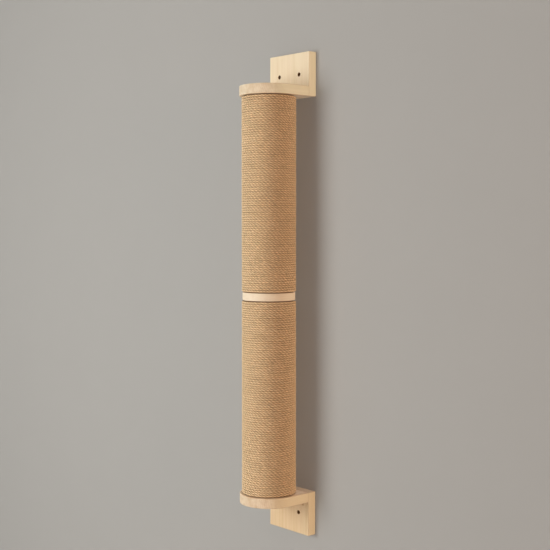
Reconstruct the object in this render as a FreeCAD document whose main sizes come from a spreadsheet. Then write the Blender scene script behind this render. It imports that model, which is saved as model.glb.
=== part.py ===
# Wall-mounted scratching post: two rope-wound tubes with a wooden ring between them,
# held between two wooden wall brackets with rounded shelves.
# Millimetres. The wall is the plane y = 0, the post stands in front of it at -Y, and +Z is up.
# The origin is midway between the lower wall plate's two screw holes, on the wall.
import FreeCAD, Part
import math
import os
import re

import Sketcher
from FreeCAD import Placement, Rotation, Vector

# Driving sizes: name, value, meaning.
SIZES = (
    ("plate_width", "120", "wall plate and shelf, side to side"),
    ("plate_height", "90", "wall plate, along the wall"),
    ("plate_thickness", "19", "wall plate, off the wall"),
    ("shelf_thickness", "20", "shelf board"),
    ("edge_round", "1.2", "eased edges of the boards"),
    ("wall_hole_diameter", "8", "screw holes in the wall plate"),
    ("wall_hole_edge", "30", "screw holes, in from the plate's sides"),
    ("wall_hole_height", "46", "screw holes above the shelf's post side"),
    ("wall_gap", "19", "free space between rope and wall"),
    ("section_length", "398", "one rope-wound half of the post"),
    ("core_diameter", "102", "paper tube, outside"),
    ("core_wall", "5", "paper tube, wall"),
    ("rope_diameter", "4.1", "rope, without its loose fibres"),
    ("turn_gap", "0.5", "between neighbouring turns"),
    ("rope_seat_gap", "0.3", "between rope and tube"),
    ("end_gap", "2", "between a winding's end turn and the wood"),
    ("turns_per_end", "12", "turns drawn at each end of a winding"),
    ("ring_thickness", "16", "middle ring"),
    ("ring_setback", "1.4", "ring edge inside the rope's surface"),
    ("ring_round", "1.5", "eased edges of the ring"),
    ("plug_length", "25", "wooden plug in a tube's end"),
    ("plug_clearance", "0.1", "plug to tube, on the radius"),
    ("bolt_diameter", "8", "bolts and joining stud"),
    ("bolt_clearance", "0.25", "bolt to hole, on the radius"),
    ("bolt_length", "35", "bolt under its head"),
    ("bolt_head_diameter", "17", "flat bolt head"),
    ("bolt_head_height", "3.5", "flat bolt head"),
    ("bolt_chamfer", "1", "head rim and shank end"),
    ("socket_width", "5", "hexagon socket, across flats"),
    ("socket_depth", "2.6", "hexagon socket"),
    ("washer_diameter", "24", "washer under a bolt head"),
    ("washer_thickness", "1.6", "washer under a bolt head"),
    ("stud_length", "46", "joining stud"),
    ("insert_diameter", "12", "threaded insert, outside"),
    ("insert_length", "18", "threaded insert"),
    ("insert_chamfer", "0.8", "threaded insert's leading end"),
    ("thread_clearance", "0.05", "screw or insert to its seat, on the radius"),
    ("screw_diameter", "5", "bracket screw's shank"),
    ("screw_length", "60", "bracket screw over all"),
    ("screw_tip", "6", "bracket screw's point"),
    ("screw_head_diameter", "10", "bracket screw's countersunk head"),
    ("screw_edge", "20", "bracket screws, in from the plate's sides"),
    ("screw_clearance", "0.25", "shank to plate, on the radius"),
    ("head_recess", "0.5", "screw head below the plate's back"),
    ("pilot_spare", "1", "pilot hole beyond the screw's point"),
    ("drive_width", "3.2", "bracket screw's recess, across flats"),
    ("drive_depth", "2", "bracket screw's recess"),
)
NAMES = {name for name, _, _ in SIZES}

# Lengths that follow from the sizes.
ROPE_PITCH = "(rope_diameter + turn_gap)"
WINDING_RADIUS = "(core_diameter / 2 + rope_seat_gap + rope_diameter / 2)"
ROPE_SURFACE = "(core_diameter / 2 + rope_seat_gap + rope_diameter)"
CORE_BORE = "(core_diameter / 2 - core_wall)"
POST_REACH = f"(wall_gap + {ROPE_SURFACE})"
WALL_HOLE_SIDE = "(plate_width / 2 - wall_hole_edge)"
SCREW_SIDE = "(plate_width / 2 - screw_edge)"
BOLT_HOLE = "(bolt_diameter / 2 + bolt_clearance)"
SCREW_HOLE = "(screw_diameter / 2 + screw_clearance)"
SINK_RADIUS = "(screw_head_diameter / 2 + head_recess + thread_clearance)"
HEAD_DEPTH = "((screw_head_diameter - screw_diameter) / 2)"
PILOT_DEPTH = "(screw_length + head_recess + pilot_spare - plate_thickness)"

# Heights of the joints along the post, above the origin.
LOWER_FACE = "wall_hole_height"
RING_BOTTOM = "(wall_hole_height + section_length)"
RING_TOP = "(wall_hole_height + section_length + ring_thickness)"
UPPER_FACE = "(wall_hole_height + 2 * section_length + ring_thickness)"

# Angles in degrees, about the post and about the row axes.
CROSSING_START = 135.0
CROSSING_END = 45.0
QUARTER_TURN = 90.0
HALF_TURN = 180.0
FULL_TURN = 360.0

# Counts: level quarters in a turn, edges in a turn, points measured on an edge, socket sides.
LEVEL_QUARTERS = 3
EDGES_PER_TURN = LEVEL_QUARTERS + 2
POINTS_PER_EDGE = 24
SOCKET_SIDES = 6

# Two lengths closer than this are the same when edges are picked.
SAME = FreeCAD.Base.Precision.confusion()

# Which turn of a Body puts its +Z the way it points in the part.
UPRIGHT = Rotation()
UPSIDE_DOWN = Rotation(Vector(0, 1, 0), HALF_TURN)
OUT_OF_WALL = Rotation(Vector(1, 0, 0), -QUARTER_TURN)

doc = FreeCAD.newDocument("scratching_post")
sheet = doc.addObject("Spreadsheet::Sheet", "Sizes")
nodes = []


def fill_sheet():
    for row, (name, number, meaning) in enumerate(SIZES, start=1):
        sheet.set(f"A{row}", name)
        sheet.set(f"B{row}", number)
        sheet.set(f"C{row}", meaning)
        sheet.setAlias(f"B{row}", name)
    doc.recompute()


def formula(text):
    """An expression over the sheet, from one written with bare size names."""

    def cell(match):
        word = match.group()
        return f"Sizes.{word}" if word in NAMES else word

    return re.sub(r"[a-z_]+", cell, text)


def value(text):
    return float(sheet.evalExpression(formula(text)))


def bind(thing, prop, text):
    thing.setExpression(prop, formula(text))


# Bodies and sketches.
def new_body(label, reach="0", height="0", side="0", turn=UPRIGHT):
    """A Body that will be one node. Its place in the part follows the sheet."""
    body = doc.addObject("PartDesign::Body", label)
    body.Label = label
    body.Placement = Placement(Vector(), turn)
    bind(body, "Placement.Base.x", side)
    bind(body, "Placement.Base.y", f"-{reach}")
    bind(body, "Placement.Base.z", height)
    nodes.append(body)
    return body


def new_sketch(body, role, name, offset="0"):
    plane = [item for item in body.Origin.OriginFeatures if item.Role == role][0]
    sketch = body.newObject("Sketcher::SketchObject", f"{body.Label}_{name}")
    sketch.AttachmentSupport = [(plane, "")]
    sketch.MapMode = "FlatFace"
    bind(sketch, "AttachmentOffset.Base.z", offset)
    return sketch


def drive(sketch, text, kind, *ends):
    """A dimension that follows the sheet."""
    index = sketch.addConstraint(Sketcher.Constraint(kind, *ends, value(text)))
    name = f"size{index}"
    sketch.renameConstraint(index, name)
    bind(sketch, f"Constraints.{name}", text)


def hold_point(sketch, edge, end, across, up):
    """Holds one point at (across, up) from the sketch's origin."""
    if across == "0":
        sketch.addConstraint(Sketcher.Constraint("PointOnObject", edge, end, -2))
    else:
        drive(sketch, across, "DistanceX", -1, 1, edge, end)
    if up == "0":
        sketch.addConstraint(Sketcher.Constraint("PointOnObject", edge, end, -1))
    else:
        drive(sketch, up, "DistanceY", -1, 1, edge, end)


def add_outline(sketch, corners):
    """A closed outline of straight lines through corners given as pairs of formulas."""
    points = [Vector(value(across), value(up), 0) for across, up in corners]
    ends = points[1:] + points[:1]
    lines = [sketch.addGeometry(Part.LineSegment(a, b)) for a, b in zip(points, ends)]
    for line, after in zip(lines, lines[1:] + lines[:1]):
        sketch.addConstraint(Sketcher.Constraint("Coincident", line, 2, after, 1))
    for line, (across, up) in zip(lines, corners):
        hold_point(sketch, line, 1, across, up)


def add_circle(sketch, radius, across="0", up="0"):
    centre = Vector(value(across), value(up), 0)
    circle = sketch.addGeometry(Part.Circle(centre, Vector(0, 0, 1), value(radius)))
    drive(sketch, radius, "Radius", circle)
    hold_point(sketch, circle, 3, across, up)


def pad(body, sketch, length):
    feature = body.newObject("PartDesign::Pad", f"{body.Label}_pad")
    feature.Profile = sketch
    bind(feature, "Length", length)
    doc.recompute()
    return feature


def pocket(body, sketch, length, forward=True):
    """Cuts along the sketch's normal, or against it."""
    before = body.Shape.Volume
    feature = body.newObject("PartDesign::Pocket", f"{sketch.Label}_cut")
    feature.Profile = sketch
    feature.Reversed = forward
    bind(feature, "Length", length)
    doc.recompute()
    assert body.Shape.Volume < before, f"{feature.Label} cuts nothing"
    return feature


def revolve(body, sketch):
    feature = body.newObject("PartDesign::Revolution", f"{body.Label}_turned")
    feature.Profile = sketch
    feature.ReferenceAxis = (sketch, ["V_Axis"])
    feature.Angle = FULL_TURN
    doc.recompute()
    return feature


def dress(body, kind, prop, size, picked):
    """A fillet or chamfer on the edges of the Body's present shape that picked() takes."""
    base = body.Tip
    edges = [f"Edge{n}" for n, edge in enumerate(base.Shape.Edges, start=1) if picked(edge)]
    feature = body.newObject(f"PartDesign::{kind}", f"{body.Label}_{kind.lower()}")
    feature.Base = (base, edges)
    bind(feature, prop, size)
    doc.recompute()
    return feature


def cut_hexagon(body, width, depth):
    """A hexagon socket sunk in the Body's upper face, which lies on its XY plane."""
    plane = [item for item in body.Origin.OriginFeatures if item.Role == "XY_Plane"][0]
    before = body.Shape.Volume
    socket = body.newObject("PartDesign::SubtractivePrism", f"{body.Label}_socket")
    socket.AttachmentSupport = [(plane, "")]
    socket.MapMode = "FlatFace"
    socket.Polygon = SOCKET_SIDES
    bind(socket, "Circumradius", f"{width} / sqrt(3)")
    bind(socket, "Height", depth)
    bind(socket, "AttachmentOffset.Base.z", f"-{depth}")
    doc.recompute()
    assert body.Shape.Volume < before, f"{socket.Label} cuts nothing"


def lies_at(edge, axis, height):
    """True for an edge that lies wholly at one height along an axis of its Body."""
    span = edge.BoundBox
    low, high = getattr(span, f"{axis}Min"), getattr(span, f"{axis}Max")
    return math.isclose(low, height, abs_tol=SAME) and math.isclose(high, height, abs_tol=SAME)


def has_radius(edge, radius):
    is_arc = isinstance(edge.Curve, Part.Circle)
    return is_arc and math.isclose(edge.Curve.Radius, radius, abs_tol=SAME)


# Wooden brackets. Each is built with the shelf's post side at z = 0 and its plate going up.
def wall_plate(label, height, turn):
    body = new_body(label, height=height, turn=turn)
    board = new_sketch(body, "XZ_Plane", "board")
    half = "plate_width / 2"
    add_outline(
        board,
        ((f"-{half}", "0"), (half, "0"), (half, "plate_height"), (f"-{half}", "plate_height")),
    )
    pad(body, board, "plate_thickness")
    dress(body, "Fillet", "Radius", "edge_round", lambda edge: not lies_at(edge, "Y", 0))
    screws = new_sketch(body, "XZ_Plane", "wall_holes")
    for side in ("-", ""):
        add_circle(screws, "wall_hole_diameter / 2", f"{side}{WALL_HOLE_SIDE}", "wall_hole_height")
    pocket(body, screws, "plate_thickness")
    bracket = new_sketch(body, "XZ_Plane", "bracket_holes")
    for side in ("-", ""):
        add_circle(bracket, SCREW_HOLE, f"{side}{SCREW_SIDE}", "shelf_thickness / 2")
    pocket(body, bracket, "plate_thickness")
    radius = value(SCREW_HOLE)

    def is_sunk(edge):
        return lies_at(edge, "Y", 0) and has_radius(edge, radius)

    dress(body, "Chamfer", "Size", f"{SINK_RADIUS} - {SCREW_HOLE}", is_sunk)


def shelf(label, height, turn):
    body = new_body(label, height=height, turn=turn)
    board = new_sketch(body, "XY_Plane", "board")
    half, back, axis = (value(text) for text in ("plate_width / 2", "plate_thickness", POST_REACH))
    corners = [Vector(-half, -back, 0), Vector(-half, -axis, 0)]
    corners += [Vector(half, -axis, 0), Vector(half, -back, 0)]
    left = board.addGeometry(Part.LineSegment(corners[0], corners[1]))
    nose = board.addGeometry(Part.Arc(corners[1], Vector(0, -axis - half, 0), corners[2]))
    right = board.addGeometry(Part.LineSegment(corners[2], corners[3]))
    rear = board.addGeometry(Part.LineSegment(corners[3], corners[0]))
    board.addConstraint(Sketcher.Constraint("Tangent", left, 2, nose, 1))
    board.addConstraint(Sketcher.Constraint("Tangent", nose, 2, right, 1))
    board.addConstraint(Sketcher.Constraint("Coincident", right, 2, rear, 1))
    board.addConstraint(Sketcher.Constraint("Coincident", rear, 2, left, 1))
    board.addConstraint(Sketcher.Constraint("Horizontal", rear))
    board.addConstraint(Sketcher.Constraint("Vertical", left))
    hold_point(board, nose, 3, "0", f"-{POST_REACH}")
    drive(board, "-plate_thickness", "DistanceY", -1, 1, left, 1)
    drive(board, "plate_width / 2", "Radius", nose)
    pad(body, board, "shelf_thickness")
    top = value("shelf_thickness")

    def is_eased(edge):
        on_face = lies_at(edge, "Z", 0) or lies_at(edge, "Z", top)
        return on_face and not lies_at(edge, "Y", -back)

    dress(body, "Fillet", "Radius", "edge_round", is_eased)
    bolt = new_sketch(body, "XY_Plane", "bolt_hole")
    add_circle(bolt, BOLT_HOLE, "0", f"-{POST_REACH}")
    pocket(body, bolt, "shelf_thickness")
    pilots = new_sketch(body, "XZ_Plane", "pilot_holes", "plate_thickness")
    radius = "screw_diameter / 2 + thread_clearance"
    for side in ("-", ""):
        add_circle(pilots, radius, f"{side}{SCREW_SIDE}", "shelf_thickness / 2")
    pocket(body, pilots, PILOT_DEPTH)


def bracket_screw(label, side, height):
    """Points out of the wall, with its countersunk head just below the plate's back."""
    body = new_body(label, "head_recess", height, f"{side}{SCREW_SIDE}", OUT_OF_WALL)
    profile = new_sketch(body, "XZ_Plane", "profile")
    shank = "screw_diameter / 2"
    add_outline(
        profile,
        (
            ("0", "0"),
            ("screw_head_diameter / 2", "0"),
            (shank, f"-{HEAD_DEPTH}"),
            (shank, "screw_tip - screw_length"),
            ("0", "-screw_length"),
        ),
    )
    revolve(body, profile)
    cut_hexagon(body, "drive_width", "drive_depth")


# Post. Tubes, plugs and inserts are built upright, with their outer end at z = 0.
def core_tube(label, height):
    body = new_body(label, POST_REACH, height)
    section = new_sketch(body, "XY_Plane", "section")
    add_circle(section, "core_diameter / 2")
    add_circle(section, CORE_BORE)
    pad(body, section, "section_length")


def end_plug(label, height, turn):
    body = new_body(label, POST_REACH, height, turn=turn)
    section = new_sketch(body, "XY_Plane", "section")
    add_circle(section, f"{CORE_BORE} - plug_clearance")
    add_circle(section, BOLT_HOLE)
    pad(body, section, "plug_length")
    seat = new_sketch(body, "XY_Plane", "insert_seat")
    add_circle(seat, "insert_diameter / 2 + thread_clearance")
    pocket(body, seat, "insert_length")


def threaded_insert(label, height, turn):
    body = new_body(label, POST_REACH, height, turn=turn)
    profile = new_sketch(body, "XZ_Plane", "profile")
    bore, outside = "bolt_diameter / 2 + thread_clearance", "insert_diameter / 2"
    add_outline(
        profile,
        (
            (bore, "0"),
            (outside, "0"),
            (outside, "insert_length - insert_chamfer"),
            (f"{outside} - insert_chamfer", "insert_length"),
            (bore, "insert_length"),
        ),
    )
    revolve(body, profile)


def middle_ring(label):
    body = new_body(label, POST_REACH, RING_BOTTOM)
    section = new_sketch(body, "XY_Plane", "section")
    rim = f"{ROPE_SURFACE} - ring_setback"
    add_circle(section, rim)
    add_circle(section, BOLT_HOLE)
    pad(body, section, "ring_thickness")
    radius = value(rim)
    dress(body, "Fillet", "Radius", "ring_round", lambda edge: has_radius(edge, radius))


def joining_stud(label):
    body = new_body(label, POST_REACH, f"{RING_BOTTOM} + (ring_thickness - stud_length) / 2")
    profile = new_sketch(body, "XZ_Plane", "profile")
    radius, end = "bolt_diameter / 2", "stud_length"
    add_outline(
        profile,
        (
            ("0", "0"),
            (f"{radius} - bolt_chamfer", "0"),
            (radius, "bolt_chamfer"),
            (radius, f"{end} - bolt_chamfer"),
            (f"{radius} - bolt_chamfer", end),
            ("0", end),
        ),
    )
    revolve(body, profile)


def shelf_bolt(label, height, turn):
    """Built with the top of its head at z = 0 and its shank going down."""
    body = new_body(label, POST_REACH, height, turn=turn)
    profile = new_sketch(body, "XZ_Plane", "profile")
    head, shank = "bolt_head_diameter / 2", "bolt_diameter / 2"
    end = "-(bolt_head_height + bolt_length)"
    add_outline(
        profile,
        (
            ("0", "0"),
            (f"{head} - bolt_chamfer", "0"),
            (head, "-bolt_chamfer"),
            (head, "-bolt_head_height"),
            (shank, "-bolt_head_height"),
            (shank, f"{end} + bolt_chamfer"),
            (f"{shank} - bolt_chamfer", end),
            ("0", end),
        ),
    )
    revolve(body, profile)
    cut_hexagon(body, "socket_width", "socket_depth")


def washer(label, height):
    body = new_body(label, POST_REACH, height)
    section = new_sketch(body, "XY_Plane", "section")
    add_circle(section, "washer_diameter / 2")
    add_circle(section, BOLT_HOLE)
    pad(body, section, "washer_thickness")


# Rope. Its turns lie level and step down to the next level in one quarter at the back.
def around(angle, height, radius):
    turn = math.radians(angle)
    return Vector(radius * math.cos(turn), radius * math.sin(turn), height)


def heading(angle):
    """The way the rope runs at an angle: clockwise, seen from above."""
    turn = math.radians(angle)
    return Vector(math.sin(turn), -math.cos(turn), 0)


def arc_from(start, direction, end):
    """The circular arc that leaves start along direction and reaches end."""
    chord = end - start
    across = chord - direction * chord.dot(direction)
    across.normalize()
    radius = chord.dot(chord) / (2 * chord.dot(across))
    centre = start + across * radius
    middle = start + chord / 2 - centre
    middle.normalize()
    return Part.Arc(start, centre + middle * radius, end).toShape()


def biarc(start, direction, end, last_direction):
    """Two arcs, tangent to each other, between two points with given directions."""
    chord = end - start
    both = direction + last_direction
    bend = 2 * (1 - direction.dot(last_direction))
    slope = 2 * chord.dot(both)
    reach = (math.sqrt(slope**2 + 4 * bend * chord.dot(chord)) - slope) / (2 * bend)
    joint = (start + direction * reach + end - last_direction * reach) / 2
    way = joint - start - direction * reach
    way.normalize()
    return [arc_from(start, direction, joint), arc_from(joint, way, end)]


def rope_path(top_level, turns):
    """Edges of one unbroken path: a straight end, level turns with crossings, a straight end."""
    radius, pitch, straight = (value(text) for text in (WINDING_RADIUS, ROPE_PITCH, "rope_diameter"))
    start = around(CROSSING_END, top_level, radius)
    edges = [Part.makeLine(start - heading(CROSSING_END) * straight, start)]
    level = top_level
    for _ in range(turns):
        for quarter in range(LEVEL_QUARTERS):
            first = CROSSING_END - quarter * QUARTER_TURN
            angles = (first, first - QUARTER_TURN / 2, first - QUARTER_TURN)
            edges.append(Part.Arc(*(around(a, level, radius) for a in angles)).toShape())
        ends = around(CROSSING_START, level, radius), around(CROSSING_END, level - pitch, radius)
        edges += biarc(ends[0], heading(CROSSING_START), ends[1], heading(CROSSING_END))
        level -= pitch
    finish = around(CROSSING_END, level, radius)
    edges.append(Part.makeLine(finish, finish + heading(CROSSING_END) * straight))
    return edges


def least_gap(edges, thickness):
    """The least free space between points of the path that are over half a turn apart."""
    points = []
    for edge in edges:
        points += edge.discretize(Number=POINTS_PER_EDGE)[:-1]
    turn = EDGES_PER_TURN * (POINTS_PER_EDGE - 1)
    nearest = min(
        point.distanceToPoint(other)
        for index, point in enumerate(points)
        for other in points[index + turn // 2 : index + 2 * turn]
    )
    return nearest - thickness


def wound_end(top_level, turns):
    """The turns at the upper end of a winding, as one unbroken tube."""
    thickness = value("rope_diameter")
    edges = rope_path(top_level, turns)
    start = edges[0].Vertexes[0].Point
    circle = Part.Wire([Part.makeCircle(thickness / 2, start, heading(CROSSING_END))])
    print(f"rope turns: least gap {least_gap(edges, thickness):.3f} mm")
    return Part.Wire(edges).makePipeShell([circle], True, False)


def crossing_pocket(floor, depth, inner, outer, straight):
    """The space in a sleeve's end for the last crossing and the straight end after it."""
    base, up = Vector(0, 0, floor), Vector(0, 0, 1)
    sector = Part.makeCylinder(outer + depth, 2 * depth, base, up, QUARTER_TURN)
    sector.rotate(base, up, CROSSING_END)
    near, far = (around(CROSSING_END, floor, radius) for radius in (inner - depth, outer + depth))
    run = heading(CROSSING_END) * straight
    slot = Part.Face(Part.makePolygon([near, far, far + run, near + run, near]))
    return sector.fuse(slot.extrude(up * (2 * depth)))


def rope_winding(label, height):
    """Turns at both ends of a winding, joined by a plain sleeve for the turns between."""
    length, turns = value("section_length"), round(value("turns_per_end"))
    thickness, pitch, gap = (value(text) for text in ("rope_diameter", ROPE_PITCH, "end_gap"))
    inner, outer = value("core_diameter / 2 + rope_seat_gap"), value(ROPE_SURFACE)
    top_level = length - gap - thickness / 2
    sleeve_top = top_level - turns * pitch + thickness / 2
    sleeve_bottom = length - sleeve_top
    base, sleeve_length = Vector(0, 0, sleeve_bottom), sleeve_top - sleeve_bottom
    sleeve = Part.makeCylinder(outer, sleeve_length, base)
    sleeve = sleeve.cut(Part.makeCylinder(inner, sleeve_length, base))
    upper_end = wound_end(top_level, turns)
    upper_pocket = crossing_pocket(sleeve_top - pitch, pitch, inner, outer, thickness)
    lower_end, lower_pocket = upper_end.copy(), upper_pocket.copy()
    for shape in (lower_end, lower_pocket):
        shape.rotate(Vector(0, 0, length / 2), Vector(0, 1, 0), HALF_TURN)
    sleeve = sleeve.cut([upper_pocket, lower_pocket])
    node = doc.addObject("Part::Feature", label)
    node.Label = label
    node.Shape = sleeve.fuse([upper_end, lower_end])
    bind(node, "Placement.Base.y", f"-{POST_REACH}")
    bind(node, "Placement.Base.z", height)
    nodes.append(node)


fill_sheet()
for place, face, turn, below in (
    ("upper", UPPER_FACE, UPRIGHT, ""),
    ("lower", LOWER_FACE, UPSIDE_DOWN, "-"),
):
    wall_plate(f"{place}_wall_plate", face, turn)
    shelf(f"{place}_shelf", face, turn)
    for hand, side in (("left", "-"), ("right", "")):
        middle = f"{face} + {below}shelf_thickness / 2"
        bracket_screw(f"{place}_bracket_screw_{hand}", side, middle)

for place, bottom, top in (
    ("upper", RING_TOP, UPPER_FACE),
    ("lower", LOWER_FACE, RING_BOTTOM),
):
    core_tube(f"{place}_core_tube", bottom)
    rope_winding(f"{place}_rope", bottom)
    for end, level, turn in (("top", top, UPSIDE_DOWN), ("bottom", bottom, UPRIGHT)):
        end_plug(f"{place}_post_{end}_plug", level, turn)
        threaded_insert(f"{place}_post_{end}_insert", level, turn)

middle_ring("middle_ring")
joining_stud("joining_stud")
stack = "shelf_thickness + washer_thickness + bolt_head_height"
shelf_bolt("top_bolt", f"{UPPER_FACE} + {stack}", UPRIGHT)
shelf_bolt("bottom_bolt", f"{LOWER_FACE} - ({stack})", UPSIDE_DOWN)
washer("top_washer", f"{UPPER_FACE} + shelf_thickness")
washer("bottom_washer", f"{LOWER_FACE} - shelf_thickness - washer_thickness")
doc.recompute()

# Every object must have built, and every node goes to a file of its own.
for item in doc.Objects:
    bad = {"Invalid", "Error"}.intersection(item.State)
    assert not bad, f"{item.Label} is {bad}"
os.makedirs("parts", exist_ok=True)
for node in nodes:
    assert not node.Shape.isNull() and node.Shape.isValid(), f"{node.Label} has a bad shape"
    node.Shape.exportStep(f"parts/{node.Label}.step")
    print(f"{node.Label}: {len(node.Shape.Solids)} solid, {node.Shape.Volume:.0f} mm3")
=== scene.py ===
import math

import bpy
import numpy as np
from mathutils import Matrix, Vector


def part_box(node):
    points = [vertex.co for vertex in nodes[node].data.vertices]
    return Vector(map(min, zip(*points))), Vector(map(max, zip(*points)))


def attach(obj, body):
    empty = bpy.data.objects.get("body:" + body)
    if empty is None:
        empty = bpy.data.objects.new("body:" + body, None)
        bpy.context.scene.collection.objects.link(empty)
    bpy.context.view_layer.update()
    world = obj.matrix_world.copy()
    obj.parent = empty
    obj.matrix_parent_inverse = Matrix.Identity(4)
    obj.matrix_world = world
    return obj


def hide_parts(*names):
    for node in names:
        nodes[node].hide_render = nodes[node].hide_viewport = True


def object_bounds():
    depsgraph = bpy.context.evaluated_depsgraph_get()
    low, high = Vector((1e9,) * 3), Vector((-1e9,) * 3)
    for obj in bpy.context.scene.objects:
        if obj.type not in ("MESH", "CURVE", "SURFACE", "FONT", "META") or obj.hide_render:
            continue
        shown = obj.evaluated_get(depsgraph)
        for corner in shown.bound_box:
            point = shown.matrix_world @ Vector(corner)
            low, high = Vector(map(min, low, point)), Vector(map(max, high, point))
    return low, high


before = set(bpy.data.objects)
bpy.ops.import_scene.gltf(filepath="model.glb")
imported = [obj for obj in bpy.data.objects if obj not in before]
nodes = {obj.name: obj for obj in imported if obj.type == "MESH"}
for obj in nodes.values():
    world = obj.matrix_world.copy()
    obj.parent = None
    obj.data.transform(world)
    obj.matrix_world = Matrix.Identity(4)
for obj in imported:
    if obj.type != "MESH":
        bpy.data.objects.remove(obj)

# Lengths are in metres, colours are linear, and a share is a part of 1.
MM = 0.001
X, Y, Z = range(3)
FULL_TURN = 2 * math.pi
SEED = 7

# Read from the frame: the CAD's box, the post's axis and the plane of the wall.
cad_box = [list(corner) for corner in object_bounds()]
rope_low, rope_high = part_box("upper_rope")
post_axis = (Vector(rope_low) + Vector(rope_high)) / 2
wall_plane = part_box("upper_wall_plate")[1][Y]

# Winding: level turns, which step down to the next level in one quarter at the back. The solids
# that it replaces have turns as thick as DRAWN_ROPE.
TURN_PITCH = 4.6 * MM
CORE_RADIUS = 51 * MM
DRAWN_ROPE = 4.1 * MM
CROSSING_END = math.radians(45)
LEVEL_SHARE = 0.75

# Rope: three strands laid together, a little uneven in place, twist and thickness.
ROPE_DIAMETER = 4.8 * MM
ROPE_LAY = 22.5 * MM
STRANDS = 3
STRAND_SIDES = 6
STRAND_SHARE = 0.47
STRAND_WIDENING = 1.3
RING_SPACING = 2.1 * MM
WANDER = 0.06 * MM
WANDER_SPACING = 40 * MM
TWIST_WANDER = 0.7
SWELL_SHARE = 0.09

# Loose fibres that stand off the rope. Lean, drift and bend are slopes.
HAIRS = 2600
HAIR_LENGTHS = (2.5 * MM, 8 * MM)
HAIR_RADIUS = 0.09 * MM
HAIR_TIP_SHARE = 0.3
HAIR_RINGS = 5
HAIR_SIDES = 3
HAIR_SPREAD = math.radians(65)
HAIR_LEAN = (0.15, 0.6)
HAIR_DRIFT = 0.35
HAIR_BEND = (-0.6, 0.3)

# Clear edge of each row or cell of a map, as a share of it.
MAP_MARGIN = 0.04

# Noise: how many layers it has, and how strong each finer layer is beside the one before.
SMOOTH, PLAIN, FINE = 2.0, 3.0, 4.0
LAYER_SHARE, PINE_FIBRE_LAYER_SHARE, JUTE_FIBRE_LAYER_SHARE = 0.55, 0.6, 0.65

# Jute. Scales are waves across a yarn and waves per metre of strand. Limits are where a mask
# starts and ends, and shares how much of the dark tone it brings. The dark tone is dark fibre in
# the specks and painted shade in the grooves and between the turns. Shades and roughness, here
# and below, are a start and what the noise adds to it.
JUTE_PALE = (0.915, 0.725, 0.465, 1)
JUTE_DEEP = (0.655, 0.42, 0.21, 1)
JUTE_DARK_FIBRE_AND_SHADE = (0.29, 0.125, 0.045, 1)
YARNS = 5.0
YARN_TURNS_PER_METRE = 180.0
JUTE_FIBRE_SCALES = (9, 70)
JUTE_FIBRE_LIMITS = (0.3, 0.6)
TUFT_SCALES = (0.5, 120)
TUFT_SHADES = (0.35, 1.4)
SPECK_SCALES = (4, 260)
SPECK_LIMITS, SPECK_SHARE = (0.62, 0.74), 0.5
# Painted shade on the sides of each strand, in the grooves between the strands.
GROOVE_PAINTED_SHADE_LIMITS, GROOVE_PAINTED_SHADE_SHARE = (0.8, 0.2), 0.6
# Painted shade at the top and bottom of each turn, where one turn meets the next.
TURN_EDGE_PAINTED_SHADE_LIMITS, TURN_EDGE_PAINTED_SHADE_SHARE = (0.6, 1.0), 0.5
JUTE_ROUGHNESS = (0.7, 0.25)
JUTE_RELIEF = 0.12 * MM
JUTE_SPECULAR = 0.2
JUTE_SHEEN, JUTE_SHEEN_ROUGHNESS = 0.02, 0.5

# Pine tones: early wood, late wood and the tint of its clouds, then a paler tone for the faces
# along X of a board, which is painted light.
PALE = ((0.765, 0.647, 0.455, 1), (0.655, 0.508, 0.312, 1), (0.765, 0.627, 0.45, 1))
PALE_SHELF = ((0.81, 0.675, 0.495, 1), (0.62, 0.45, 0.28, 1), (0.68, 0.515, 0.335, 1))
PALE_SIDE_PAINTED_LIGHT = (0.94, 0.92, 0.68, 1)
WARM = ((0.655, 0.49, 0.295, 1), (0.53, 0.35, 0.175, 1), (0.66, 0.48, 0.30, 1))
WARM_SHELF = ((0.82, 0.655, 0.475, 1), (0.60, 0.41, 0.23, 1), (0.68, 0.49, 0.315, 1))
WARM_SIDE_PAINTED_LIGHT = (0.92, 0.795, 0.53, 1)
RING = ((0.84, 0.71, 0.52, 1), (0.71, 0.54, 0.37, 1), (0.83, 0.69, 0.52, 1))
KNOT_COLOUR = (0.36, 0.19, 0.08, 1)
BORE_WOOD_AND_SHADE_COLOUR = (0.22, 0.10, 0.018, 1)

# Pine figure. Scales are waves per metre across and along the grain.
GROWTH_RING = 3.4 * MM
LATE_WOOD_POWER, LATE_WOOD_END = 2.2, 0.88
RING_SHARE, SHELF_RING_SHARE, TURNED_RING_SHARE = 0.2, 0.45, 0.3
SWAY_SCALES, SWAY = (16, 3), 10 * MM
FIBRE_SCALES, FIBRE_SHADES = (900, 14), (0.92, 0.16)
STREAK_SCALES, STREAK_LIMITS, STREAK_SHARE = (140, 5), (0.5, 0.78), 0.5
CLOUD_SCALES, CLOUD_LIMITS = (34, 7), (0.35, 0.65)
STAVE, STAVE_CLOUD_SCALES, STAVE_SPREAD = 26 * MM, (70, 7), 0.3
# Painted light on faces along X: where the paler tone starts and ends, and how much of it.
PAINTED_SIDE_LIGHT_LIMITS, PAINTED_SIDE_LIGHT_SHARE = (0.7, 0.98), 0.7
END_LIMITS, END_SHADE, SHELF_END_SHADE = (0.55, 0.95), 0.06, 0.12
PORE_SCALE, PORE_LIMITS, PORE_SHADE = 1500.0, (0.55, 0.75), 0.1
PINE_ROUGHNESS = (0.48, 0.22)
PINE_RELIEF, RING_RELIEF_SHARE = 0.05 * MM, 0.5
PINE_SPECULAR = 0.3

# Where the pith of each board's tree runs, along its grain.
PLATE_PITH = (20 * MM, 60 * MM, 0)
SHELF_PITH_X, SHELF_PITH_DROP = -160 * MM, 30 * MM
RING_PITH = (30 * MM, 0, 410 * MM)
PLUG_PITH = (30 * MM, -50 * MM, 0)

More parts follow.
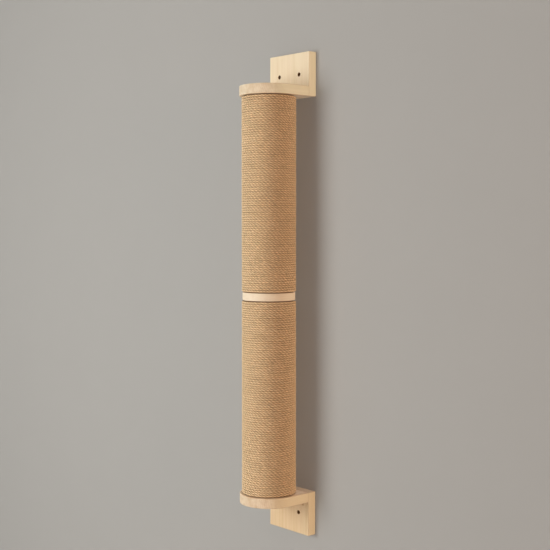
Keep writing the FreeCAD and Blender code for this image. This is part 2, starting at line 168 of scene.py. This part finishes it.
# Wall screw holes, from the plate's sides and outer end, and a knot on the lower plate. Each
# hole is darkened inside, partly as drilled wood and partly as painted shade. The knot's
# heart, reach and push are in its radii.
BORE_RADIUS = 4 * MM
BORE_SOFT_EDGE = 0.3 * MM
BORE_WOOD_AND_SHADE_SHARE = 0.9
HOLE_SIDE = 30 * MM
HOLE_EDGE = 44 * MM
KNOT_PLACE, KNOT_RADIUS = (43 * MM, 0, 20 * MM), 4 * MM
KNOT_HEART = (1.3, 0.5)
KNOT_SHARE = 0.75
KNOT_REACH, KNOT_PUSH = 4, 2

# Zinc-plated steel.
ZINC_COOL = (0.60, 0.61, 0.63, 1)
ZINC_WARM = (0.68, 0.64, 0.56, 1)
ZINC_RUBBED = (0.74, 0.74, 0.73, 1)
BLOOM_SCALE, MARK_SCALE = 130.0, 2500.0
RUBBED_SCALE, RUBBED_LIMITS, RUBBED_SHARE = 420.0, (0.55, 0.7), 0.4
STEEL_ROUGHNESS = (0.26, 0.26)
STEEL_RELIEF = 0.01 * MM

# Brown paper of the tubes, made dark as painted shade in the gaps beside the rope's ends, where
# the tubes show.
CARD_DARK = (0.12, 0.06, 0.025, 1)
CARD_PALE = (0.19, 0.105, 0.05, 1)
CARD_GREY = (0.15, 0.09, 0.045, 1)
PULP_SCALE = 900.0
CARD_CLOUD_SCALE, CARD_CLOUD_SHARE = 45.0, 0.3
CARD_ROUGHNESS = (0.75, 0.2)
CARD_RELIEF = 0.05 * MM

# Camera, fitted to the photograph.
IMAGE_SIDE = 550
FOCAL_PIXELS = 1076
SENSOR = 36
CLIP_NEAR, CLIP_FAR = 0.01, 100
CAMERA_DISTANCE = 2.2
CAMERA_AZIMUTH = math.radians(49.128)
CAMERA_YAW = math.radians(48.803)
CAMERA_PITCH = math.radians(-2.692)
CAMERA_RISE = 0.1462

# Floor and wall. The wall passes a share of the light of lamps behind it, and glows a little to
# the camera alone, so that the shadow on it is no deeper than it should be.
FLOOR_DROP = 0.5
STAGE_REACH = 3.0
WALL_HEIGHT = 2.6
WALL_CLEARANCE = 0.5 * MM
FLOOR_COLOUR = (0.62, 0.61, 0.59, 1)
WALL_COLOUR = (0.294, 0.284, 0.270, 1)
WALL_PASS_SHARE = 0.6
WALL_GLOW = 0.062
PLASTER_SCALE, PLASTER_SHADE, PLASTER_ROUGHNESS = 6.0, 0.97, 0.9

# Lamps: name, place, width, watts, colour. The sky is brighter to the camera than as a light.
LAMPS = (
    ("key", (-0.94, -2.82, 0.66), 2.0, 77.5, (0.995, 1.0, 0.978)),
    ("fill", (2.58, -0.45, 0.75), 0.8, 18.5, (1.0, 0.575, 0.36)),
    ("rim", (1.1, 1.75, 0.5), 1.0, 26, (1.0, 0.84, 0.66)),
    ("back", (-1.2, 1.9, 0.6), 1.2, 26, (1.0, 0.97, 0.92)),
    ("top", (0.15, -0.5, 3.2), 0.8, 12, (1.0, 0.95, 0.88)),
)
SKY_COLOUR = (1.0, 0.96, 0.91, 1)
SKY_LIGHT, SKY_SEEN = 0.19, 0.88


# Node helpers.
def add_node(tree, kind, inputs=None, **settings):
    """A new node, with each input linked to a socket or set to a value."""
    item = tree.nodes.new(kind)
    for name, setting in settings.items():
        setattr(item, name, setting)
    for name, value in (inputs or {}).items():
        feed(tree, item.inputs[name], value)
    return item


def feed(tree, socket, value):
    if isinstance(value, bpy.types.NodeSocket):
        tree.links.new(value, socket)
    else:
        socket.default_value = value


def maths(tree, operation, first, second=0.0):
    return add_node(tree, "ShaderNodeMath", {0: first, 1: second}, operation=operation).outputs[0]


def vector_maths(tree, operation, first, second=None):
    inputs = {0: first} if second is None else {0: first, 1: second}
    return add_node(tree, "ShaderNodeVectorMath", inputs, operation=operation)


def part_of(tree, vector, axis):
    return add_node(tree, "ShaderNodeSeparateXYZ", {0: vector}).outputs[axis]


def scaled(tree, vector, factors):
    return vector_maths(tree, "MULTIPLY", vector, factors).outputs[0]


def ramp(tree, value, low, high):
    """Spreads the part of value between low and high over 0 to 1."""
    inputs = {"Value": value, "From Min": low, "From Max": high}
    return add_node(tree, "ShaderNodeMapRange", inputs, clamp=True).outputs["Result"]


def mask(tree, value, limits, share):
    """Rises from 0 to share while value goes from one limit to the other."""
    return maths(tree, "MULTIPLY", ramp(tree, value, *limits), share)


def raised(tree, value, start, spread):
    """start, and spread more where value is 1."""
    return maths(tree, "ADD", start, maths(tree, "MULTIPLY", value, spread))


def noise(tree, vector, scale=1.0, layers=PLAIN, layer_share=LAYER_SHARE):
    inputs = {"Vector": vector, "Scale": scale, "Detail": layers, "Roughness": layer_share}
    return add_node(tree, "ShaderNodeTexNoise", inputs).outputs["Fac"]


def blend_colours(tree, share, first, second, mode="MIX"):
    mix = add_node(tree, "ShaderNodeMix", data_type="RGBA", blend_type=mode)
    sockets = {socket.identifier: socket for socket in mix.inputs}
    feed(tree, sockets["Factor_Float"], share)
    feed(tree, sockets["A_Color"], first)
    feed(tree, sockets["B_Color"], second)
    return next(socket for socket in mix.outputs if socket.identifier == "Result_Color")


def shaded(tree, colour, shade):
    """The colour made lighter or darker by a factor."""
    grey = add_node(tree, "ShaderNodeCombineColor", {0: shade, 1: shade, 2: shade}).outputs[0]
    return blend_colours(tree, 1.0, colour, grey, "MULTIPLY")


def seen_rays(tree):
    """1 where the camera sees a thing, straight or by way of gloss or glass, and 0 for its light."""
    path = add_node(tree, "ShaderNodeLightPath").outputs
    seen = maths(tree, "MAXIMUM", path["Is Camera Ray"], path["Is Glossy Ray"])
    return maths(tree, "MAXIMUM", seen, path["Is Transmission Ray"])


def new_material(name):
    material = bpy.data.materials.new(name)
    material.use_nodes = True
    tree = material.node_tree
    return material, tree, tree.nodes["Principled BSDF"]


def finish_material(tree, shader, colour, roughness, height, depth):
    """Links colour, roughness and a bump of that depth."""
    tree.links.new(colour, shader.inputs["Base Color"])
    tree.links.new(roughness, shader.inputs["Roughness"])
    bump = add_node(tree, "ShaderNodeBump", {"Height": height, "Distance": depth, "Strength": 1.0})
    tree.links.new(bump.outputs["Normal"], shader.inputs["Normal"])


# Wood.
def distance_to_line(tree, place, axis, point):
    """How far a place lies from the line along one axis through a point."""
    offset = vector_maths(tree, "SUBTRACT", place, point).outputs[0]
    flat = scaled(tree, offset, [0.0 if part == axis else 1.0 for part in range(3)])
    return vector_maths(tree, "LENGTH", flat).outputs["Value"]


def grain_noise(tree, place, grain, scales, layers=PLAIN, layer_share=LAYER_SHARE):
    """Noise drawn out along the grain."""
    across, along = scales
    factors = [along if axis == grain else across for axis in range(3)]
    return noise(tree, scaled(tree, place, factors), 1.0, layers, layer_share)


def stave_chance(tree, place):
    """A number from 0 to 1 for each of the strips, side by side along X, of a glued-up board."""
    number = maths(tree, "FLOOR", maths(tree, "DIVIDE", part_of(tree, place, X), STAVE))
    chance = add_node(tree, "ShaderNodeTexWhiteNoise", {"W": number}, noise_dimensions="1D")
    return chance.outputs["Value"]


def growth_rings(tree, place, grain, pith, knots, chance):
    """0 in the early wood to 1 in the late wood of each ring, which bends round the knots."""
    distance = distance_to_line(tree, place, grain, pith)
    sway = grain_noise(tree, place, grain, SWAY_SCALES, SMOOTH)
    distance = maths(tree, "ADD", distance, maths(tree, "MULTIPLY", sway, SWAY))
    for point, radius in knots:
        away = distance_to_line(tree, place, Y, point)
        push = mask(tree, away, (KNOT_REACH * radius, radius), KNOT_PUSH * radius)
        distance = maths(tree, "ADD", distance, push)
    if chance is not None:
        distance = maths(tree, "ADD", distance, chance)
    phase = maths(tree, "FRACT", maths(tree, "DIVIDE", distance, GROWTH_RING))
    late = maths(tree, "POWER", phase, LATE_WOOD_POWER)
    return maths(tree, "MULTIPLY", late, ramp(tree, phase, 1.0, LATE_WOOD_END))


def wood(
    name, grain, pith, tones, ring_share=RING_SHARE, glued_up=False,
    bores=(), knots=(), sides=None, ends=END_SHADE,
):
    """Softwood with growth rings round a pith line, so that faces and end grain agree.

    grain is the axis the fibres follow, and pith a point on the tree's middle line.
    tones are the early wood, the late wood and the tint of its broad clouds.
    A board that is glued_up has strips of its own figure, side by side along X.
    bores are (point, radius) of drilled holes, darkened inside as drilled wood and painted shade, and
    knots (point, radius) of small knots, both along Y.
    sides is a paler tone laid on the faces along X, painted light that lifts them as if lit more, and
    ends how much darker the end grain is."""
    early, late, tint = tones
    material, tree, shader = new_material(name)
    place = add_node(tree, "ShaderNodeTexCoord").outputs["Object"]
    facing = add_node(tree, "ShaderNodeTexCoord").outputs["Normal"]
    chance = stave_chance(tree, place) if glued_up else None
    rings = growth_rings(tree, place, grain, pith, knots, chance)
    fibres = grain_noise(tree, place, grain, FIBRE_SCALES, FINE, PINE_FIBRE_LAYER_SHARE)
    streaks = grain_noise(tree, place, grain, STREAK_SCALES)
    if glued_up:
        clouds = grain_noise(tree, place, grain, STAVE_CLOUD_SCALES, SMOOTH)
        clouds = maths(tree, "ADD", clouds, maths(tree, "MULTIPLY", chance, STAVE_SPREAD))
        clouds = maths(tree, "SUBTRACT", clouds, STAVE_SPREAD / 2)
    else:
        clouds = grain_noise(tree, place, grain, CLOUD_SCALES, SMOOTH)

    colour = blend_colours(tree, ramp(tree, clouds, *CLOUD_LIMITS), early, tint)
    colour = blend_colours(tree, maths(tree, "MULTIPLY", rings, ring_share), colour, late)
    colour = blend_colours(tree, mask(tree, streaks, STREAK_LIMITS, STREAK_SHARE), colour, late)
    # Painted light: a paler tone on the faces along X, as if they were lit more.
    if sides:
        across = maths(tree, "ABSOLUTE", part_of(tree, facing, X))
        colour = blend_colours(tree, mask(tree, across, PAINTED_SIDE_LIGHT_LIMITS, PAINTED_SIDE_LIGHT_SHARE), colour, sides)
    end_grain = ramp(tree, maths(tree, "ABSOLUTE", part_of(tree, facing, grain)), *END_LIMITS)
    pores = mask(tree, noise(tree, place, PORE_SCALE, SMOOTH), PORE_LIMITS, PORE_SHADE)
    darker = maths(tree, "MULTIPLY", end_grain, maths(tree, "ADD", ends, pores))
    colour = shaded(tree, colour, maths(tree, "SUBTRACT", raised(tree, fibres, *FIBRE_SHADES), darker))
    for point, radius in knots:
        away = distance_to_line(tree, place, Y, point)
        heart = mask(tree, away, [share * radius for share in KNOT_HEART], KNOT_SHARE)
        colour = blend_colours(tree, heart, colour, KNOT_COLOUR)
    # Inside each bore: darker drilled wood and painted shade.
    for point, radius in bores:
        away = distance_to_line(tree, place, Y, point)
        inside = mask(tree, away, (radius + BORE_SOFT_EDGE, radius), BORE_WOOD_AND_SHADE_SHARE)
        colour = blend_colours(tree, inside, colour, BORE_WOOD_AND_SHADE_COLOUR)

    height = raised(tree, rings, fibres, RING_RELIEF_SHARE)
    finish_material(tree, shader, colour, raised(tree, streaks, *PINE_ROUGHNESS), height, PINE_RELIEF)
    shader.inputs["Specular IOR Level"].default_value = PINE_SPECULAR
    return material


# Other materials.
def lay_noise(tree, lay, scales, layers=PLAIN, layer_share=LAYER_SHARE):
    """Noise that follows the yarns of a strand."""
    return noise(tree, scaled(tree, lay, (*scales, 0)), 1.0, layers, layer_share)


def jute(name):
    """Twisted plant fibre. The map "fibre" has the way round a strand and the length in metres."""
    material, tree, shader = new_material(name)
    uv = add_node(tree, "ShaderNodeUVMap", uv_map="fibre").outputs[0]
    around, length = part_of(tree, uv, X), part_of(tree, uv, Y)
    yarn_turns = maths(tree, "MULTIPLY", length, YARN_TURNS_PER_METRE)
    way = raised(tree, around, yarn_turns, YARNS)
    lay = add_node(tree, "ShaderNodeCombineXYZ", {0: way, 1: length}).outputs[0]
    ridge = maths(tree, "ABSOLUTE", maths(tree, "SINE", maths(tree, "MULTIPLY", way, math.pi)))
    outer = maths(tree, "COSINE", maths(tree, "MULTIPLY", around, FULL_TURN))
    turn_edge_shade = add_node(tree, "ShaderNodeAttribute", attribute_name="beside").outputs["Fac"]
    fibres = lay_noise(tree, lay, JUTE_FIBRE_SCALES, FINE, JUTE_FIBRE_LAYER_SHARE)
    tufts = lay_noise(tree, lay, TUFT_SCALES)
    specks = lay_noise(tree, lay, SPECK_SCALES, SMOOTH)

    colour = blend_colours(tree, ramp(tree, fibres, *JUTE_FIBRE_LIMITS), JUTE_DEEP, JUTE_PALE)
    # Specks are dark fibre; the groove and turn-edge masks lay painted shade in the rope's creases.
    for value, limits, share in (
        (specks, SPECK_LIMITS, SPECK_SHARE),
        (outer, GROOVE_PAINTED_SHADE_LIMITS, GROOVE_PAINTED_SHADE_SHARE),
        (turn_edge_shade, TURN_EDGE_PAINTED_SHADE_LIMITS, TURN_EDGE_PAINTED_SHADE_SHARE),
    ):
        colour = blend_colours(tree, mask(tree, value, limits, share), colour, JUTE_DARK_FIBRE_AND_SHADE)
    colour = shaded(tree, colour, raised(tree, tufts, *TUFT_SHADES))

    height = maths(tree, "ADD", ridge, fibres)
    finish_material(tree, shader, colour, raised(tree, fibres, *JUTE_ROUGHNESS), height, JUTE_RELIEF)
    shader.inputs["Specular IOR Level"].default_value = JUTE_SPECULAR
    shader.inputs["Sheen Weight"].default_value = JUTE_SHEEN
    shader.inputs["Sheen Roughness"].default_value = JUTE_SHEEN_ROUGHNESS
    return material


def steel(name):
    """Zinc-plated steel: fine marks, a faint warm and cool bloom and rubbed spots."""
    material, tree, shader = new_material(name)
    place = add_node(tree, "ShaderNodeTexCoord").outputs["Object"]
    bloom = noise(tree, place, BLOOM_SCALE, SMOOTH)
    marks = noise(tree, place, MARK_SCALE)
    rubbed = mask(tree, noise(tree, place, RUBBED_SCALE), RUBBED_LIMITS, RUBBED_SHARE)
    colour = blend_colours(tree, bloom, ZINC_COOL, ZINC_WARM)
    colour = blend_colours(tree, rubbed, colour, ZINC_RUBBED)
    finish_material(tree, shader, colour, raised(tree, marks, *STEEL_ROUGHNESS), marks, STEEL_RELIEF)
    shader.inputs["Metallic"].default_value = 1.0
    return material


def card(name):
    """Brown paper with a fine pulp and faint clouds."""
    material, tree, shader = new_material(name)
    place = add_node(tree, "ShaderNodeTexCoord").outputs["Object"]
    pulp = noise(tree, place, PULP_SCALE, FINE)
    clouds = maths(tree, "MULTIPLY", noise(tree, place, CARD_CLOUD_SCALE, SMOOTH), CARD_CLOUD_SHARE)
    # Dark tones, partly the paper's brown and partly painted shade for the gaps at the rope's ends.
    colour = blend_colours(tree, pulp, CARD_DARK, CARD_PALE)
    colour = blend_colours(tree, clouds, colour, CARD_GREY)
    finish_material(tree, shader, colour, raised(tree, pulp, *CARD_ROUGHNESS), pulp, CARD_RELIEF)
    return material


def plaster(name, colour, pass_share=0.0, glow=0.0):
    """Plain matt surface, clear from behind.

    It passes a share of the light of lamps behind it, and glows to the camera alone."""
    material, tree, shader = new_material(name)
    place = add_node(tree, "ShaderNodeTexCoord").outputs["Object"]
    darker = [PLASTER_SHADE * part for part in colour[:3]] + [1]
    clouds = blend_colours(tree, noise(tree, place, PLASTER_SCALE), colour, darker)
    tree.links.new(clouds, shader.inputs["Base Color"])
    shader.inputs["Roughness"].default_value = PLASTER_ROUGHNESS
    see_through = add_node(tree, "ShaderNodeNewGeometry").outputs["Backfacing"]
    if pass_share:
        lamp_ray = add_node(tree, "ShaderNodeLightPath").outputs["Is Shadow Ray"]
        passed = maths(tree, "MULTIPLY", lamp_ray, pass_share)
        see_through = maths(tree, "MAXIMUM", see_through, passed)
    if glow:
        shader.inputs["Emission Color"].default_value = SKY_COLOUR
        seen_glow = maths(tree, "MULTIPLY", seen_rays(tree), glow)
        tree.links.new(seen_glow, shader.inputs["Emission Strength"])
    clear = add_node(tree, "ShaderNodeBsdfTransparent").outputs[0]
    mix = add_node(tree, "ShaderNodeMixShader", {0: see_through, 1: shader.outputs[0], 2: clear})
    tree.links.new(mix.outputs[0], tree.nodes["Material Output"].inputs["Surface"])
    return material


# Rope.
def wandering(length, spacing, generator):
    """A random curve along a length, with a spread of about 1."""
    stops = np.arange(0, length[-1] + 2 * spacing, spacing)
    return np.interp(length, stops, generator.normal(size=len(stops)))


def unit(vectors):
    return vectors / np.linalg.norm(vectors, axis=1)[:, None]


def winding(node):
    """Points of the rope's middle line, its outward and upward directions, and its length."""
    low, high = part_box(node)
    radius = CORE_RADIUS + ROPE_DIAMETER / 2
    run = high[Z] - low[Z] - DRAWN_ROPE
    turns = round(run / TURN_PITCH) + 1
    pitch = run / (turns - 1)
    crossing_share = 1 - LEVEL_SHARE
    last = turns - crossing_share
    count = int(last * FULL_TURN * radius / RING_SPACING)
    turn = np.linspace(0, last, count)
    angle = CROSSING_END - FULL_TURN * turn
    whole = np.floor(turn)
    step = np.clip((turn - whole - LEVEL_SHARE) / crossing_share, 0, 1)
    step = step * step * (3 - 2 * step)  # eased at both ends
    outward = np.stack([np.cos(angle), np.sin(angle), np.zeros(count)], axis=1)
    upward = np.tile(np.array([0.0, 0.0, 1.0]), (count, 1))
    points = np.array([post_axis[X], post_axis[Y], 0.0]) + outward * radius
    points[:, Z] = high[Z] - DRAWN_ROPE / 2 - pitch * (whole + step)
    return points, outward, upward, turn * FULL_TURN * radius


def tube_mesh(name, rings, length):
    """Closed tubes through rings of points, shaped (tubes, rings, sides, 3).

    Also gives, for the corners of each side face, the way round from 0 to 1 and the length."""
    tubes, count, sides = rings.shape[:3]
    mesh = bpy.data.meshes.new(name)
    tube = np.arange(tubes)[:, None, None] * count * sides
    ring = np.arange(count - 1)[None, :, None] * sides
    side = np.arange(sides)[None, None, :]
    first, beside = tube + ring + side, tube + ring + (side + 1) % sides
    quads = np.stack([first, beside, beside + sides, first + sides], axis=3).reshape(-1, 4)
    starts = np.arange(tubes)[:, None] * count * sides
    start_caps = starts + np.arange(sides)[None, ::-1]
    end_caps = starts + (count - 1) * sides + np.arange(sides)[None, :]
    corners = np.concatenate([quads.ravel(), start_caps.ravel(), end_caps.ravel()])
    sizes = np.concatenate([np.full(len(quads), 4), np.full(2 * tubes, sides)])
    face_starts = np.concatenate([[0], np.cumsum(sizes)[:-1]])
    mesh.vertices.add(tubes * count * sides)
    mesh.vertices.foreach_set("co", rings.reshape(-1).astype(np.float32))
    mesh.loops.add(len(corners))
    mesh.loops.foreach_set("vertex_index", corners.astype(np.int32))
    mesh.polygons.add(len(sizes))
    mesh.polygons.foreach_set("loop_start", face_starts.astype(np.int32))
    mesh.polygons.foreach_set("use_smooth", np.ones(len(sizes), dtype=bool))
    mesh.update(calc_edges=True)
    shape = (tubes, count - 1, sides)
    before = np.broadcast_to(length[:, :-1, None], shape).reshape(-1)
    after = np.broadcast_to(length[:, 1:, None], shape).reshape(-1)
    left = np.broadcast_to(side / sides, shape).reshape(-1)
    right = left + 1 / sides
    around = np.stack([left, right, right, left], axis=1)
    along = np.stack([before, before, after, after], axis=1)
    return mesh, around, along


def inset(share):
    """Shares of a row or cell of a map, kept clear of its edges."""
    return MAP_MARGIN / 2 + share * (1 - MAP_MARGIN)


def rows_of(around, length, width):
    """Places on a square map that holds one long strip, width wide, cut into rows."""
    row_length = math.sqrt(length.max() * width)
    rows = math.ceil(length.max() / row_length)
    row = np.minimum(np.floor(length.min(axis=1) / row_length), rows - 1)[:, None]
    over = (length / row_length - row) * (1 - MAP_MARGIN)
    return np.stack([over, (row + inset(around)) / rows], axis=2)


def cells_of(around, share, strips):
    """Places on a square map that holds many short strips, each in a cell of its own."""
    columns = math.ceil(math.sqrt(strips))
    cell = np.repeat(np.arange(strips), len(around) // strips)[:, None]
    over = (cell % columns + inset(around)) / columns
    up = (cell // columns + inset(share)) / columns
    return np.stack([over, up], axis=2)


def lay_map(mesh, name, places, cap_corners):
    """Adds a map with a place for each corner of the side faces, and one place for all caps."""
    layer = mesh.uv_layers.new(name=name)
    places = np.concatenate([places.reshape(-1, 2), np.tile(places[0, :1], (cap_corners, 1))])
    layer.data.foreach_set("uv", places.ravel().astype(np.float32))


def add_piece(name, mesh, material, node):
    mesh.validate()
    mesh.materials.append(material)
    piece = bpy.data.objects.new(name, mesh)
    bpy.context.scene.collection.objects.link(piece)
    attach(piece, "root")
    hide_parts(node)


def wind_rope(node, material, seed):
    """Three strands and their loose fibres, which replace one rope node."""
    generator = np.random.default_rng(seed)
    points, outward, upward, length = winding(node)
    points = points + outward * (WANDER * wandering(length, WANDER_SPACING, generator))[:, None]
    points = points + upward * (WANDER * wandering(length, WANDER_SPACING, generator))[:, None]
    twist = FULL_TURN * length / ROPE_LAY
    twist = twist + TWIST_WANDER * wandering(length, WANDER_SPACING, generator)
    half = ROPE_DIAMETER * STRAND_SHARE / 2
    reach = ROPE_DIAMETER / 2 - half
    slant = math.sqrt(1 + (FULL_TURN * reach / ROPE_LAY) ** 2)
    side_angles = FULL_TURN * np.arange(STRAND_SIDES) / STRAND_SIDES
    cap_corners = 2 * STRAND_SIDES
    for strand in range(STRANDS):
        angle = twist + FULL_TURN * strand / STRANDS
        out = outward * np.cos(angle)[:, None] + upward * np.sin(angle)[:, None]
        across = upward * np.cos(angle)[:, None] - outward * np.sin(angle)[:, None]
        size = half * (1 + SWELL_SHARE * wandering(length, ROPE_LAY, generator))[:, None]
        wide = size * slant * STRAND_WIDENING
        rings = (
            (points + out * reach)[:, None, :]
            + out[:, None, :] * (size * np.cos(side_angles))[:, :, None]
            + across[:, None, :] * (wide * np.sin(side_angles))[:, :, None]
        )
        name = f"{node}_strand_{strand + 1}"
        mesh, around, along = tube_mesh(name, rings[None], length[None])
        lay_map(mesh, "fibre", np.stack([around + strand, along], axis=2), cap_corners)
        lay_map(mesh, "OFBake", rows_of(around, along, FULL_TURN * half), cap_corners)
        # beside: how far from the rope's middle line, in half pitches; the jute lays painted shade where
        # it is high.
        beside = np.abs(rings[:, :, Z] - points[:, None, Z]) / (TURN_PITCH / 2)
        layer = mesh.attributes.new("beside", "FLOAT", "POINT")
        layer.data.foreach_set("value", beside.ravel().astype(np.float32))
        add_piece(name, mesh, material, node)
    add_hairs(node, material, generator, points, outward, upward, length)


def add_hairs(node, material, generator, points, outward, upward, length):
    """Short loose fibres, each a thin curved tube that leaves the rope at a slant."""
    root = generator.integers(1, len(points) - 1, HAIRS)
    slant = generator.uniform(-HAIR_SPREAD, HAIR_SPREAD, HAIRS)[:, None]
    normal = outward[root] * np.cos(slant) + upward[root] * np.sin(slant)
    way = unit(points[root + 1] - points[root - 1]) * generator.choice((-1, 1), HAIRS)[:, None]
    lean = generator.uniform(*HAIR_LEAN, HAIRS)[:, None]
    drift = generator.normal(0, HAIR_DRIFT, HAIRS)[:, None] * np.cross(normal, way)
    heading = unit(way + normal * lean + drift)
    bend = normal * generator.uniform(*HAIR_BEND, HAIRS)[:, None]
    size = generator.uniform(*HAIR_LENGTHS, HAIRS)[:, None, None]
    share = np.linspace(0, 1, HAIR_RINGS)[None, :, None]
    start = points[root] + normal * (ROPE_DIAMETER / 2 - HAIR_RADIUS)
    curve = share * heading[:, None, :] + share**2 / 2 * bend[:, None, :]
    middle = start[:, None, :] + size * curve
    second = unit(np.cross(heading, normal))
    third = np.cross(heading, second)
    thickness = (HAIR_RADIUS * (1 - (1 - HAIR_TIP_SHARE) * share))[..., None]
    turn = FULL_TURN * np.arange(HAIR_SIDES) / HAIR_SIDES
    ring = second[:, None, None, :] * np.cos(turn)[None, None, :, None]
    ring = ring + third[:, None, None, :] * np.sin(turn)[None, None, :, None]
    rings = middle[:, :, None, :] + ring * thickness
    name = f"{node}_loose_fibres"
    shares = np.broadcast_to(share[:, :, 0], (HAIRS, HAIR_RINGS))
    mesh, around, along = tube_mesh(name, rings, shares)
    faces = len(around) // HAIRS
    place = np.repeat(length[root], faces)[:, None] + np.repeat(size.ravel(), faces)[:, None] * along
    cap_corners = 2 * HAIRS * HAIR_SIDES
    lay_map(mesh, "fibre", np.stack([np.zeros_like(around), place], axis=2), cap_corners)
    lay_map(mesh, "OFBake", cells_of(around, along, HAIRS), cap_corners)
    add_piece(name, mesh, material, node)


# Boards, tubes and fasteners.
def dress(node, material):
    mesh = nodes[node].data
    mesh.materials.clear()
    mesh.materials.append(material)


def dress_bracket(place, plate_tones, shelf_tones, sides):
    """Pine for one wall plate and its shelf."""
    low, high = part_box(f"{place}_wall_plate")
    level = high[Z] - HOLE_EDGE if place == "upper" else low[Z] + HOLE_EDGE
    bores = [((hand * (high[X] - HOLE_SIDE), 0, level), BORE_RADIUS) for hand in (-1, 1)]
    knots = [(KNOT_PLACE, KNOT_RADIUS)] if place == "lower" else []
    plate = wood(f"{place}_plate_pine", Z, PLATE_PITH, plate_tones, bores=bores, knots=knots, sides=sides)
    dress(f"{place}_wall_plate", plate)
    low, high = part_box(f"{place}_shelf")
    pith = (SHELF_PITH_X, 0, low[Z] - SHELF_PITH_DROP)
    shelf = wood(
        f"{place}_shelf_pine", Y, pith, shelf_tones, SHELF_RING_SHARE,
        glued_up=True, sides=sides, ends=SHELF_END_SHADE,
    )
    dress(f"{place}_shelf", shelf)


def dress_inner_pieces():
    metal, paper = steel("zinc_steel"), card("tube_card")
    plug_wood = wood("plug_wood", Z, PLUG_PITH, WARM)
    for name in nodes:
        if name.endswith("_plug"):
            dress(name, plug_wood)
        elif name.endswith("_core_tube"):
            dress(name, paper)
        elif name.endswith(("_screw_left", "_screw_right", "_insert", "_bolt", "_washer", "_stud")):
            dress(name, metal)


# Stage, light and camera.
def flat_sheet(name, corners, material):
    mesh = bpy.data.meshes.new(name)
    mesh.from_pydata(corners, [], [tuple(range(len(corners)))])
    sheet = bpy.data.objects.new(name, mesh)
    bpy.context.scene.collection.objects.link(sheet)
    mesh.materials.append(material)


def add_stage():
    ground = cad_box[0][Z] - FLOOR_DROP
    top = ground + WALL_HEIGHT
    behind = wall_plane + WALL_CLEARANCE
    left, right, front, back = -STAGE_REACH, STAGE_REACH, -STAGE_REACH, STAGE_REACH
    floor = [(left, front, ground), (right, front, ground), (right, back, ground), (left, back, ground)]
    wall = [(left, behind, ground), (right, behind, ground), (right, behind, top), (left, behind, top)]
    flat_sheet("floor", floor, plaster("pale_floor", FLOOR_COLOUR))
    flat_sheet("wall", wall, plaster("pale_wall", WALL_COLOUR, WALL_PASS_SHARE, WALL_GLOW))


def add_lamp(name, place, target, size, power, colour):
    lamp = bpy.data.lights.new(name, "AREA")
    lamp.shape = "DISK"
    lamp.size = size
    lamp.energy = power
    lamp.color = colour
    item = bpy.data.objects.new(name, lamp)
    item.location = place
    item.rotation_euler = (Vector(target) - Vector(place)).to_track_quat("-Z", "Y").to_euler()
    bpy.context.scene.collection.objects.link(item)


def add_lights():
    middle = (post_axis[X], post_axis[Y], (cad_box[0][Z] + cad_box[1][Z]) / 2)
    for name, place, size, power, colour in LAMPS:
        add_lamp(name, place, middle, size, power, colour)
    world = bpy.data.worlds.new("studio")
    bpy.context.scene.world = world
    world.use_nodes = True
    tree = world.node_tree
    sky = tree.nodes["Background"]
    sky.inputs["Color"].default_value = SKY_COLOUR
    strength = raised(tree, seen_rays(tree), SKY_LIGHT, SKY_SEEN - SKY_LIGHT)
    tree.links.new(strength, sky.inputs["Strength"])


def add_camera():
    lens = bpy.data.cameras.new("photo_camera")
    lens.sensor_width = SENSOR
    lens.lens = SENSOR * FOCAL_PIXELS / IMAGE_SIDE
    lens.clip_start, lens.clip_end = CLIP_NEAR, CLIP_FAR
    camera = bpy.data.objects.new("photo_camera", lens)
    ring_low, ring_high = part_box("middle_ring")
    camera.location = (
        post_axis[X] + CAMERA_DISTANCE * math.sin(CAMERA_AZIMUTH),
        post_axis[Y] - CAMERA_DISTANCE * math.cos(CAMERA_AZIMUTH),
        (ring_low[Z] + ring_high[Z]) / 2 + CAMERA_RISE,
    )
    camera.rotation_euler = (math.pi / 2 + CAMERA_PITCH, 0, CAMERA_YAW)
    bpy.context.scene.collection.objects.link(camera)
    bpy.context.scene.camera = camera


# The object.
rope = jute("jute_rope")
dress_bracket("upper", PALE, PALE_SHELF, PALE_SIDE_PAINTED_LIGHT)
wind_rope("upper_rope", rope, SEED)
dress_bracket("lower", WARM, WARM_SHELF, WARM_SIDE_PAINTED_LIGHT)
wind_rope("lower_rope", rope, SEED + 1)
dress("middle_ring", wood("ring_wood", Y, RING_PITH, RING, TURNED_RING_SHARE))
dress_inner_pieces()

add_stage()
add_lights()
add_camera()
bpy.context.scene.view_settings.view_transform = "Standard"
